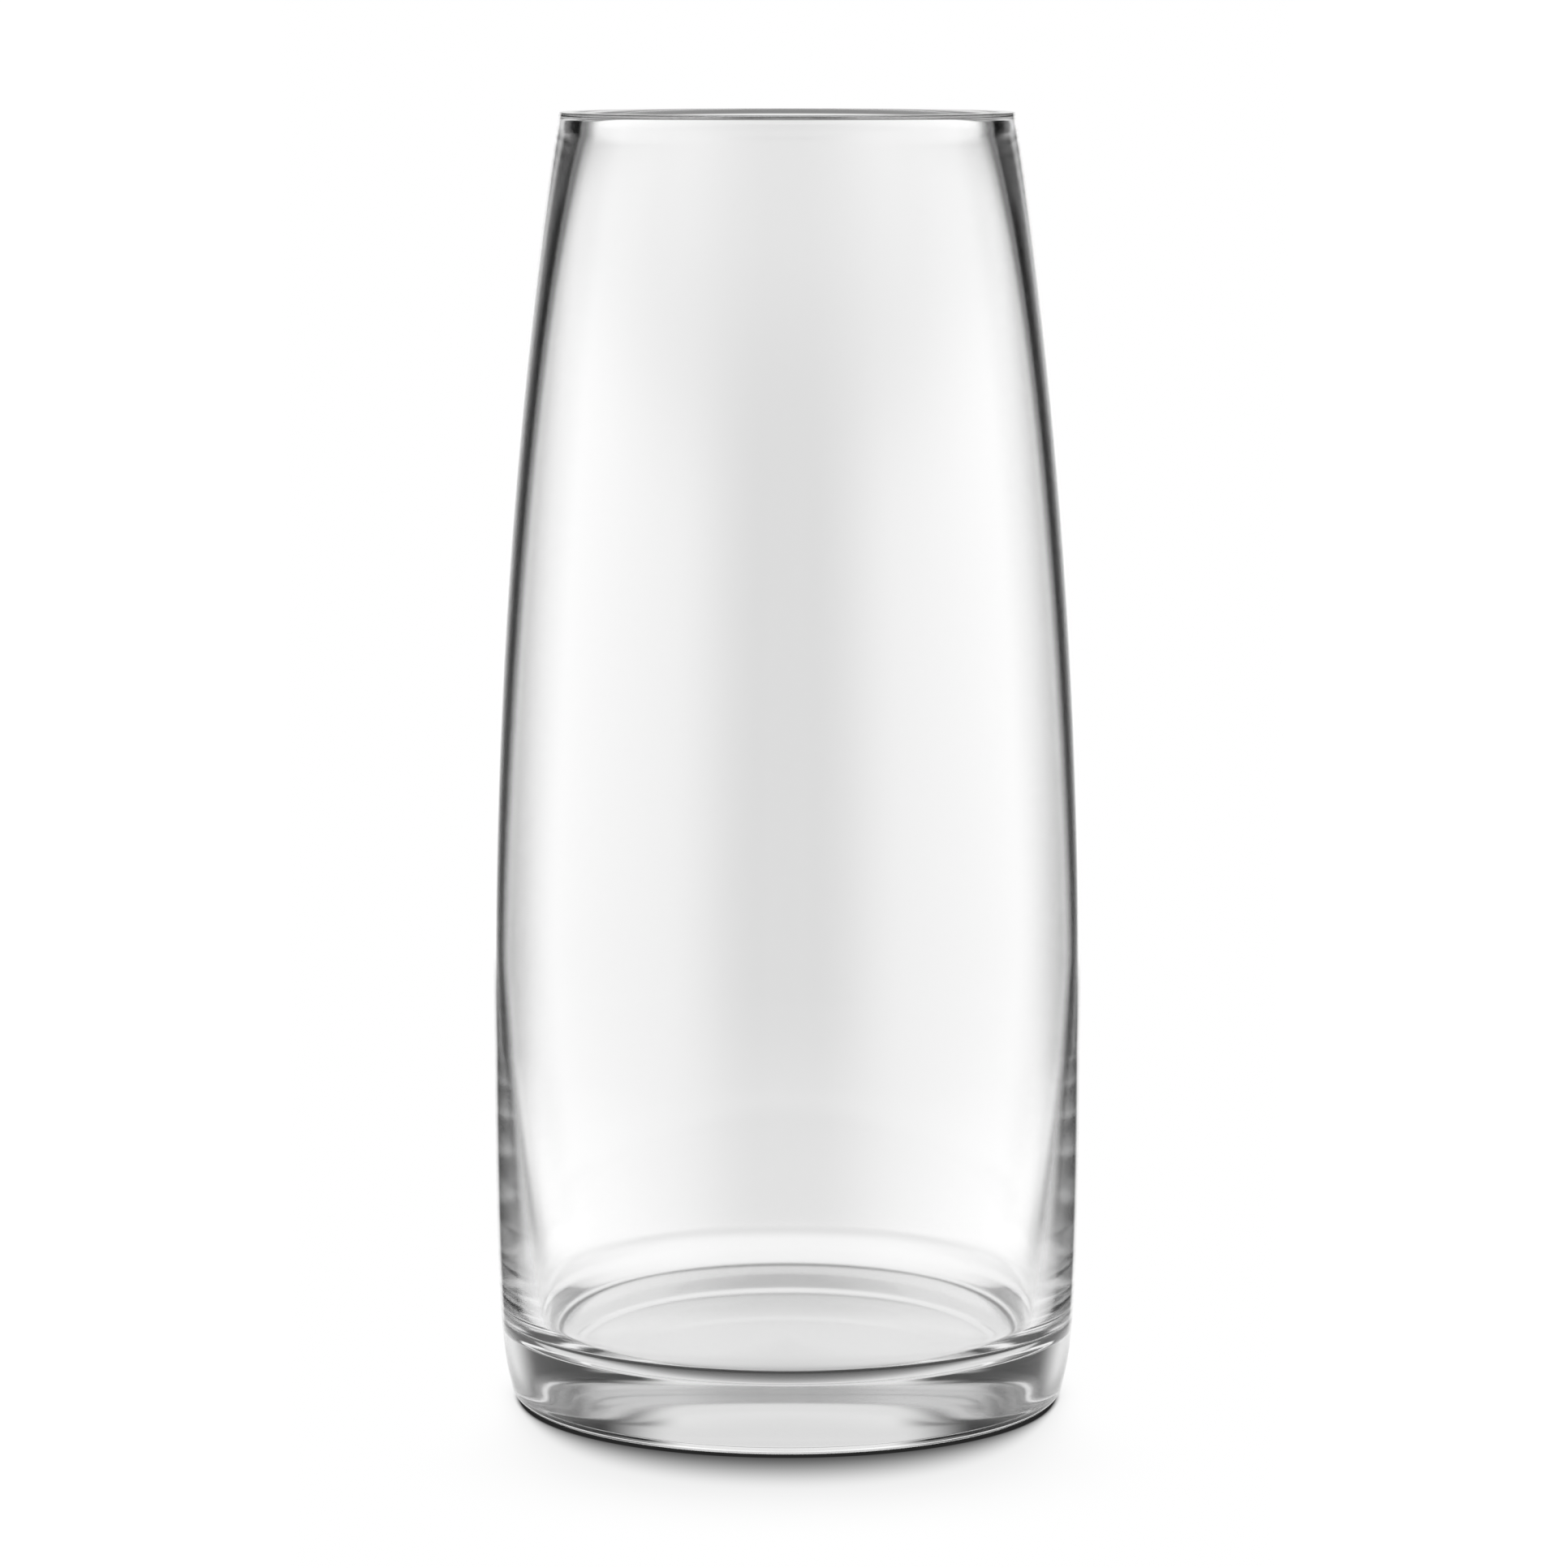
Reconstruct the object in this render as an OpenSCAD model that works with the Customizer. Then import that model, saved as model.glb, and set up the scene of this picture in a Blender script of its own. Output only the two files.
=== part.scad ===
// Glass cylinder vase: one piece of clear glass, a slim barrel with a thick base and a narrower mouth.
// Millimetres, +Z up. The origin is the centre of the base, on the surface that the vase stands on.
// Its outline is revolved: smooth curves down the wall, arcs round both heels and the inner edge of the rim.

/* [Outside] */
// Height of the vase
height = 250; // [240:1:280]
// Diameter of the belly, the widest part, low on the body
belly_d = 114; // [112:0.5:117]
// Height of the belly
belly_z = 70; // [60:1:90]
// Diameter over the rim
rim_d = 87.2; // [84:0.2:100]
// Lean of the outside at the rim, in degrees from upright
rim_lean = 9.4; // [8.4:0.2:14]

/* [Base] */
// Diameter at the top of the rounded outer heel
heel_d = 108; // [104:0.2:110]
// Radius of the outer heel
heel_r = 3; // [2:0.5:5]
// Thickness of the floor at the foot of the inner heel
floor_t = 12.5; // [9:0.5:18]
// How much thinner the floor is at its centre
floor_dip = 0.2; // [0:0.1:1.5]
// Diameter of the shallow hollow under the base, inside the ring that the vase stands on
hollow_d = 90; // [70:1:94]
// Depth of that hollow at its centre
hollow_depth = 0.8; // [0.2:0.1:2]

/* [Wall] */
// Thickness of the wall at its thinnest place
thin_wall = 1.65; // [1.5:0.05:2.5]
// Height of that place
thin_z = 86; // [80:1:105]
// Thickness of the wall across the flat rim
rim_wall = 4.2; // [3.6:0.1:5.5]
// Lean of the inside at the rim, in degrees from upright
mouth_lean = 14; // [10:0.5:16]
// Width of the bevel ground on the outer edge of the rim
rim_bevel = 0.2; // [0.2:0.1:0.8]
// Radius that rounds the inner edge of the rim
mouth_round = 2; // [0.5:0.1:2.4]
// Inside diameter at the top of the rounded inner heel
well_d = 99.8; // [97:0.2:101]
// Radius of the inner heel
well_r = 8; // [5:0.5:12]

/* [Hidden] */

// Lean of the wall where it leaves each heel, in degrees from upright
heel_lean = 11.3;
well_lean = 10;

// Reach of each curve's two handles, as a share of the height that the curve covers
outside_upper_reach = [0, 0.52];
outside_lower_reach = [0.087, 0.89];
inside_upper_reach = [0.106, 0.309];
inside_lower_reach = [0.1, 0.34];

// Number of straight steps in each kind of curve
body_steps = 22;
foot_steps = 9;
heel_steps = 7;
lip_steps = 6;
dish_steps = 6;

rim_r = rim_d / 2;
mouth_r = rim_r - rim_wall;

// Where the curves of the outside and the inside meet or end, as [radius, height]
belly = [belly_d / 2, belly_z];
thin_place = [belly_d / 2 - thin_wall, thin_z];
outer_edge = [rim_r, height - rim_bevel];
inner_edge = [mouth_r, height - mouth_round];

// Centre of the arc that rounds each heel
heel_centre = [heel_d / 2 - heel_r * cos(heel_lean), heel_r];
well_centre = [well_d / 2 - well_r * cos(well_lean), floor_t + well_r];

// Where each arc meets the wall
heel_top = heel_centre + heel_r * [cos(heel_lean), -sin(heel_lean)];
well_top = well_centre + well_r * [cos(well_lean), -sin(well_lean)];

// Cubic Bezier point on the four control points p
function bezier(p, t) =
    pow(1 - t, 3) * p[0] + 3 * t * pow(1 - t, 2) * p[1] + 3 * t * t * (1 - t) * p[2] + pow(t, 3) * p[3];

// Outline of one stretch of wall, from its low end to its high end, as [radius, height] points.
// Each end leans outwards going up by its own angle, and reach is how far each handle goes.
function wall_curve(low, low_lean, high, high_lean, reach, steps) =
    let (span = high[1] - low[1])
    let (low_handle = low + span * reach[0] * [tan(low_lean), 1])
    let (high_handle = high - span * reach[1] * [tan(high_lean), 1])
    [for (i = [0:steps]) bezier([low, low_handle, high_handle, high], i / steps)];

// Outline of a heel, from the point straight below the centre round to the wall above
function heel_arc(centre, r, lean) =
    [for (i = [0:heel_steps]) let (a = (90 - lean) * i / heel_steps) centre + r * [sin(a), -cos(a)]];

// Outline of the rounded lip, from the inside of the mouth up to the flat rim
function lip_arc() =
    [for (i = [0:lip_steps]) let (a = 90 * i / lip_steps) inner_edge + mouth_round * [1 - cos(a), sin(a)]];

// Outline of a shallow dish, from the axis out to its edge
function dish(r, centre_z, edge_z) =
    [for (i = [0:dish_steps]) let (u = i / dish_steps) [r * u, centre_z + (edge_z - centre_z) * u * u]];

function reverse(points) = [for (i = [len(points) - 1:-1:0]) points[i]];

function without_first(points) = [for (i = [1:len(points) - 1]) points[i]];

// Outside of the glass, from the hollow under the base up to the bevel of the rim
function outside() = concat(
    dish(hollow_d / 2, hollow_depth, 0),
    heel_arc(heel_centre, heel_r, heel_lean),
    without_first(wall_curve(heel_top, heel_lean, belly, 0, outside_lower_reach, foot_steps)),
    without_first(wall_curve(belly, 0, outer_edge, -rim_lean, outside_upper_reach, body_steps))
);

// Inside of the glass, from the middle of the floor up over the lip to the flat rim
function inside() = concat(
    dish(well_centre[0], floor_t - floor_dip, floor_t),
    without_first(heel_arc(well_centre, well_r, well_lean)),
    without_first(wall_curve(well_top, well_lean, thin_place, 0, inside_lower_reach, foot_steps)),
    without_first(wall_curve(thin_place, 0, inner_edge, -mouth_lean, inside_upper_reach, body_steps)),
    without_first(lip_arc())
);

// Where the flat rim starts, inside the bevel of its outer edge
rim_start = [rim_r - rim_bevel, height];

module glass_vase() {
    color([0.86, 0.88, 0.88, 0.35])
        rotate_extrude($fn = 180)
            polygon(concat(outside(), [rim_start], reverse(inside())));
}

glass_vase();
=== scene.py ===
import math

import bpy
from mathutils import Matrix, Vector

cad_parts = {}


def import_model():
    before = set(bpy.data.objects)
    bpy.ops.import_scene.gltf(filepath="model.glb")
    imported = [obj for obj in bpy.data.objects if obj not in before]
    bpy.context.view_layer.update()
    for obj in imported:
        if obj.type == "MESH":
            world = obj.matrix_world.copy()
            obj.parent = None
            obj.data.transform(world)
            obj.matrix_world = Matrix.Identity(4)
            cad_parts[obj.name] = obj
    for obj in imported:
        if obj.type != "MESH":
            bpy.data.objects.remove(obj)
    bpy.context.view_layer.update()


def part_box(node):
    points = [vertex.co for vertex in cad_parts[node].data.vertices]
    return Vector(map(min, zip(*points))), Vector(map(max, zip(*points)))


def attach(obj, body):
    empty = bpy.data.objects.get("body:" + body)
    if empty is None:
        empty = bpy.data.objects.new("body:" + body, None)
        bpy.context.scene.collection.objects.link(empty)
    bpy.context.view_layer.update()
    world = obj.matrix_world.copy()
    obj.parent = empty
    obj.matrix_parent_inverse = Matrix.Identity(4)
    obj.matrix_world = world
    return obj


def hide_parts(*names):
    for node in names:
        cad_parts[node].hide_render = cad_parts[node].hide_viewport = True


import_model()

MM = 0.001

# ---- Driving dimensions -------------------------------------------------------------------------
# The height and the widest radius come from the frame, the rest from the design of the vase.
_, TOP_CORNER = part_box("glass_vase")
HEIGHT = TOP_CORNER.z
BELLY_R = 57.0 * MM
BELLY_Z = 70 * MM

RIM_R = 43.6 * MM
RIM_LEAN = math.radians(9.4)
RIM_WALL = 4.2 * MM
RIM_ROUND = 0.2 * MM
MOUTH_ROUND = 2 * MM
MOUTH_LEAN = math.radians(14)

HEEL_TOP_R = 54 * MM
HEEL_ROUND = 3 * MM
HEEL_LEAN = math.radians(11.3)
HOLLOW_R = 45 * MM
HOLLOW_DEPTH = 0.8 * MM

THIN_WALL = 1.65 * MM
THIN_Z = 86 * MM
WELL_TOP_R = 49.9 * MM
WELL_ROUND = 8 * MM
WELL_LEAN = math.radians(10)
FLOOR_T = 12.5 * MM
FLOOR_DIP = 0.2 * MM

# Reach of the two handles of each wall curve, as a share of the height that the curve covers
OUTER_FOOT_REACH = (0.087, 0.89)
OUTER_BODY_REACH = (0, 0.52)
INNER_FOOT_REACH = (0.1, 0.34)
INNER_BODY_REACH = (0.106, 0.309)

# Mesh fineness: faces round the vase, and steps along each kind of curve
SEGMENTS = 288
HEEL_STEPS = 20
WELL_STEPS = 30
FOOT_STEPS = 48
OUTER_BODY_STEPS = 64
INNER_BODY_STEPS = 60
LIP_STEPS = 12
HOLLOW_STEPS = 24
FLOOR_STEPS = 14


# ---- Profile ------------------------------------------------------------------------------------
def bezier(p, t):
    """The point at t on the cubic Bezier curve with control points p."""
    weights = ((1 - t) ** 3, 3 * t * (1 - t) ** 2, 3 * t * t * (1 - t), t ** 3)
    return tuple(sum(w * point[axis] for w, point in zip(weights, p)) for axis in (0, 1))


def wall_curve(low, low_lean, high, high_lean, reach, steps):
    """One stretch of wall from low to high, as (radius, height) points. Each end leans outwards going
    up by its own angle, and reach is how far its handle goes, as a share of the height between them."""
    span = high[1] - low[1]
    low_handle = (low[0] + span * reach[0] * math.tan(low_lean), low[1] + span * reach[0])
    high_handle = (high[0] - span * reach[1] * math.tan(high_lean), high[1] - span * reach[1])
    return [bezier((low, low_handle, high_handle, high), i / steps) for i in range(steps + 1)]


def arc(centre, radius, start, end, steps):
    """Points on an arc, from angle start to angle end, where 0 points straight down and 90 outwards."""
    angles = [math.radians(start + (end - start) * i / steps) for i in range(steps + 1)]
    return [(centre[0] + radius * math.sin(a), centre[1] - radius * math.cos(a)) for a in angles]


def dish(radius, centre_z, edge_z, steps):
    """A shallow dish from near the axis out to its edge."""
    return [
        (radius * i / steps, centre_z + (edge_z - centre_z) * (i / steps) ** 2)
        for i in range(1, steps + 1)
    ]


def outside_profile():
    """The outside of the glass, from the hollow under the base up to the rounded edge of the rim."""
    heel_centre = (HEEL_TOP_R - HEEL_ROUND * math.cos(HEEL_LEAN), HEEL_ROUND)
    heel = arc(heel_centre, HEEL_ROUND, 0, 90 - math.degrees(HEEL_LEAN), HEEL_STEPS)
    belly = (BELLY_R, BELLY_Z)
    edge = (RIM_R, HEIGHT - RIM_ROUND)
    foot = wall_curve(heel[-1], HEEL_LEAN, belly, 0, OUTER_FOOT_REACH, FOOT_STEPS)
    body = wall_curve(belly, 0, edge, -RIM_LEAN, OUTER_BODY_REACH, OUTER_BODY_STEPS)
    lip_centre = (RIM_R - RIM_ROUND, HEIGHT - RIM_ROUND)
    lip = arc(lip_centre, RIM_ROUND, 90, 180, LIP_STEPS)
    hollow = dish(HOLLOW_R, HOLLOW_DEPTH, 0, HOLLOW_STEPS)
    return hollow + heel + foot[1:] + body[1:] + lip[1:]


def inside_profile():
    """The inside of the glass, from the middle of the floor up to the rounded edge of the rim."""
    well_centre = (WELL_TOP_R - WELL_ROUND * math.cos(WELL_LEAN), FLOOR_T + WELL_ROUND)
    well = arc(well_centre, WELL_ROUND, 0, 90 - math.degrees(WELL_LEAN), WELL_STEPS)
    thin = (BELLY_R - THIN_WALL, THIN_Z)
    mouth_r = RIM_R - RIM_WALL
    edge = (mouth_r, HEIGHT - MOUTH_ROUND)
    foot = wall_curve(well[-1], WELL_LEAN, thin, 0, INNER_FOOT_REACH, FOOT_STEPS)
    body = wall_curve(thin, 0, edge, -MOUTH_LEAN, INNER_BODY_REACH, INNER_BODY_STEPS)
    lip_centre = (mouth_r + MOUTH_ROUND, HEIGHT - MOUTH_ROUND)
    lip = arc(lip_centre, MOUTH_ROUND, 270, 180, LIP_STEPS)
    floor_top = dish(well_centre[0], FLOOR_T - FLOOR_DIP, FLOOR_T, FLOOR_STEPS)
    return floor_top + well[1:] + foot[1:] + body[1:] + lip[1:]


def fitted(profile):
    """The profile with its radii scaled, by under 0.1 %, so that the widest one touches the CAD box."""
    widest = max(r for r, _ in profile)
    limit = min(TOP_CORNER.x, TOP_CORNER.y)
    return [(r * limit / widest, z) for r, z in profile]


# ---- Mesh ---------------------------------------------------------------------------------------
def lathe(name, start_z, profile, end_z):
    """A closed mesh: the profile turned about the Z axis, with a point on the axis at each end."""
    verts = [(0, 0, start_z)]
    for r, z in profile:
        for s in range(SEGMENTS):
            turn = 2 * math.pi * s / SEGMENTS
            verts.append((r * math.cos(turn), r * math.sin(turn), z))
    verts.append((0, 0, end_z))
    last = len(verts) - 1
    final_ring = 1 + (len(profile) - 1) * SEGMENTS
    faces = []
    for s in range(SEGMENTS):
        following = (s + 1) % SEGMENTS
        faces.append((0, 1 + following, 1 + s))
        for ring in range(len(profile) - 1):
            low = 1 + ring * SEGMENTS
            high = low + SEGMENTS
            faces.append((low + s, low + following, high + following, high + s))
        faces.append((last, final_ring + s, final_ring + following))
    mesh = bpy.data.meshes.new(name)
    mesh.from_pydata(verts, [], faces)
    mesh.shade_smooth()
    mesh.update()
    piece = bpy.data.objects.new(name, mesh)
    bpy.context.scene.collection.objects.link(piece)
    return piece


# ---- Materials ----------------------------------------------------------------------------------
GLASS_IOR = 1.51
GLASS_ROUGHNESS = 0.05


def clear_glass():
    material = bpy.data.materials.new("clear_glass")
    material.use_nodes = True
    shader = material.node_tree.nodes["Principled BSDF"]
    shader.inputs["Base Color"].default_value = (1, 1, 1, 1)
    shader.inputs["Roughness"].default_value = GLASS_ROUGHNESS
    shader.inputs["IOR"].default_value = GLASS_IOR
    shader.inputs["Transmission Weight"].default_value = 1
    return material


# ---- Camera -------------------------------------------------------------------------------------
# Lens and sensor width in millimetres, place in metres, tilt below level in degrees
LENS = 136.66
SENSOR = 36
CAMERA_PLACE = (-0.0006, -1.1448, 0.2680)
LOOK_DOWN = 7.345


def camera():
    data = bpy.data.cameras.new("camera")
    data.lens = LENS
    data.sensor_width = SENSOR
    obj = bpy.data.objects.new("camera", data)
    bpy.context.scene.collection.objects.link(obj)
    obj.location = CAMERA_PLACE
    obj.rotation_euler = (math.radians(90 - LOOK_DOWN), 0, 0)
    bpy.context.scene.camera = obj


# ---- Shader nodes -------------------------------------------------------------------------------
class Nodes:
    """Short calls that add nodes to one node tree and join them up."""

    def __init__(self, tree):
        self.tree = tree

    def add(self, kind, **settings):
        node = self.tree.nodes.new(kind)
        for name, value in settings.items():
            setattr(node, name, value)
        return node

    def feed(self, socket, value):
        if isinstance(value, (int, float, tuple)):
            socket.default_value = value
        else:
            self.tree.links.new(value, socket)

    def math(self, operation, *values):
        node = self.add("ShaderNodeMath", operation=operation)
        for socket, value in zip(node.inputs, values):
            self.feed(socket, value)
        return node.outputs[0]

    def ramp(self, value, start, end, low=0.0, high=1.0):
        """Goes smoothly from low, where value is start, to high, where it is end."""
        node = self.add("ShaderNodeMapRange", interpolation_type="SMOOTHSTEP")
        for socket, number in zip(node.inputs, (value, start, end, low, high)):
            self.feed(socket, number)
        return node.outputs[0]


# ---- Light --------------------------------------------------------------------------------------
# Soft light panels around the vase. Each edge is (angle, how far it fades): turn is degrees from
# straight behind the vase, the same on both sides, and rise is degrees above the horizon.
PANELS = (
    # level, turn from, to, rise from, to
    (0.84, (-9, 1), (18, 8), (-22, 6), (12, 3)),
    (0.18, (3, 6), (18, 8), (-22, 6), (6, 8)),
    (0.20, (9, 8), (18, 8), (-22, 6), (6, 8)),
    (0.22, (-9, 1), (30, 16), (-95, 1), (-22, 6)),
    (0.80, (30, 16), (190, 1), (-95, 1), (-17, 8)),
    (0.74, (-9, 1), (24, 16), (12, 3), (34, 12)),
    (0.90, (60, 20), (150, 40), (-17, 8), (8, 8)),
    (0.62, (118, 24), (190, 1), (14, 12), (34, 12)),
    (0.62, (-9, 1), (190, 1), (34, 12), (64, 16)),
    (0.40, (-9, 1), (190, 1), (64, 16), (100, 1)),
)


def panel(nodes, turn, rise, level, turn_from, turn_to, rise_from, rise_to):
    """The light of one panel in a direction: its level inside its four edges, fading out across them."""
    value = level
    for angle, start, end in ((turn, turn_from, turn_to), (rise, rise_from, rise_to)):
        for (edge, soft), side in ((start, 0.5), (end, -0.5)):
            fade = nodes.ramp(angle, edge - side * soft, edge + side * soft)
            value = nodes.math("MULTIPLY", value, fade)
    return value


def world():
    """White behind the vase, and the panels for every ray that glass or a surface has turned."""
    sky = bpy.data.worlds.new("studio")
    bpy.context.scene.world = sky
    sky.use_nodes = True
    nodes = Nodes(sky.node_tree)
    direction = nodes.add("ShaderNodeTexCoord").outputs["Generated"]
    parts = nodes.add("ShaderNodeSeparateXYZ")
    nodes.feed(parts.inputs[0], direction)
    x, y, z = parts.outputs
    sideways = nodes.math("ABSOLUTE", x)
    turn = nodes.math("DEGREES", nodes.math("ARCTAN2", sideways, y))
    rise = nodes.math("DEGREES", nodes.math("ARCSINE", z))
    total = 0.0
    for values in PANELS:
        total = nodes.math("ADD", total, panel(nodes, turn, rise, *values))
    rays = nodes.add("ShaderNodeLightPath")
    seen = nodes.math("MAXIMUM", rays.outputs["Is Camera Ray"], total)
    background = sky.node_tree.nodes["Background"]
    nodes.feed(background.inputs["Strength"], seen)
    background.inputs["Color"].default_value = (1, 1, 1, 1)


# ---- Floor --------------------------------------------------------------------------------------
# The ring that the vase stands on, and the disc below it, which fades out from the clear radius on
CONTACT_R = 52 * MM
FLOOR_GAP = 0.1 * MM
FLOOR_R = 120 * MM
FLOOR_CLEAR_R = 75 * MM
FLOOR_SIDES = 96

# Painted shadow round the ring, in the floor's own glow: a dark core, a wide haze and a thin line. The
# core and the haze reach furthest in front of the vase, and least behind it.
SHADE_POWER = 3
SHADE_BACK = 0.06
CORE_SHADE = 0.6
CORE_REACH = 27 * MM
HAZE_SHADE = 0.34
HAZE_REACH = 26 * MM
LINE_SHADE = 0.5
LINE_REACH = 2 * MM
DARKEST = 0.02
# Painted shade under the base: inside the ring the floor's glow is dimmer, rising back to full across the
# fade
UNDER_LIGHT = 0.8
UNDER_FADE = 3 * MM


def floor_material():
    """Glowing white with a painted shadow around the foot of the vase, most of all in front, and painted
    shade under it. It fades out at the edge.
    """
    material = bpy.data.materials.new("floor")
    material.use_nodes = True
    tree = material.node_tree
    tree.nodes.clear()
    nodes = Nodes(tree)
    parts = nodes.add("ShaderNodeSeparateXYZ")
    nodes.feed(parts.inputs[0], nodes.add("ShaderNodeNewGeometry").outputs["Position"])
    x, y, _ = parts.outputs
    squared = nodes.math("ADD", nodes.math("MULTIPLY", x, x), nodes.math("MULTIPLY", y, y))
    radius = nodes.math("SQRT", squared)
    front = nodes.math("MAXIMUM", nodes.math("DIVIDE", nodes.math("MULTIPLY", y, -1), radius), 0)
    forward = nodes.math("POWER", front, SHADE_POWER)
    reach = nodes.math("MULTIPLY_ADD", forward, 1 - SHADE_BACK, SHADE_BACK)
    away = nodes.math("ABSOLUTE", nodes.math("SUBTRACT", radius, CONTACT_R))
    spread = nodes.math("DIVIDE", away, reach)
    core = nodes.ramp(spread, 0, CORE_REACH, CORE_SHADE, 0)
    fall = nodes.math("EXPONENT", nodes.math("DIVIDE", spread, -HAZE_REACH))
    haze = nodes.math("MULTIPLY", HAZE_SHADE, fall)
    line = nodes.ramp(away, 0, LINE_REACH, LINE_SHADE, 0)
    shade = nodes.math("ADD", nodes.math("ADD", core, haze), line)
    light = nodes.math("MAXIMUM", nodes.math("SUBTRACT", 1, shade), DARKEST)
    under = nodes.ramp(radius, CONTACT_R - UNDER_FADE, CONTACT_R, UNDER_LIGHT, 1)
    # The floor glows, and its shadow is painted into the glow rather than cast by the panels
    emission = nodes.add("ShaderNodeEmission")
    nodes.feed(emission.inputs["Strength"], nodes.math("MULTIPLY", light, under))
    mix = nodes.add("ShaderNodeMixShader")
    nodes.feed(mix.inputs[0], nodes.ramp(radius, FLOOR_CLEAR_R, FLOOR_R))
    nodes.feed(mix.inputs[1], emission.outputs[0])
    nodes.feed(mix.inputs[2], nodes.add("ShaderNodeBsdfTransparent").outputs[0])
    nodes.feed(nodes.add("ShaderNodeOutputMaterial").inputs["Surface"], mix.outputs[0])
    return material


def floor():
    """A disc under the vase."""
    turns = [2 * math.pi * s / FLOOR_SIDES for s in range(FLOOR_SIDES)]
    ring = [(FLOOR_R * math.cos(turn), FLOOR_R * math.sin(turn), -FLOOR_GAP) for turn in turns]
    mesh = bpy.data.meshes.new("floor")
    mesh.from_pydata(ring, [], [tuple(range(FLOOR_SIDES))])
    obj = bpy.data.objects.new("floor", mesh)
    bpy.context.scene.collection.objects.link(obj)
    mesh.materials.append(floor_material())


# ---- Build --------------------------------------------------------------------------------------
BOUNCES = 48

camera()
world()
floor()
vase = lathe(
    "vase",
    HOLLOW_DEPTH,
    fitted(outside_profile() + inside_profile()[::-1]),
    FLOOR_T - FLOOR_DIP,
)
vase.data.materials.append(clear_glass())
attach(vase, "root")
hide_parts("glass_vase")

bpy.context.scene.view_settings.view_transform = "Standard"
cycles = bpy.context.scene.cycles
cycles.max_bounces = BOUNCES
cycles.transmission_bounces = BOUNCES
cycles.glossy_bounces = BOUNCES
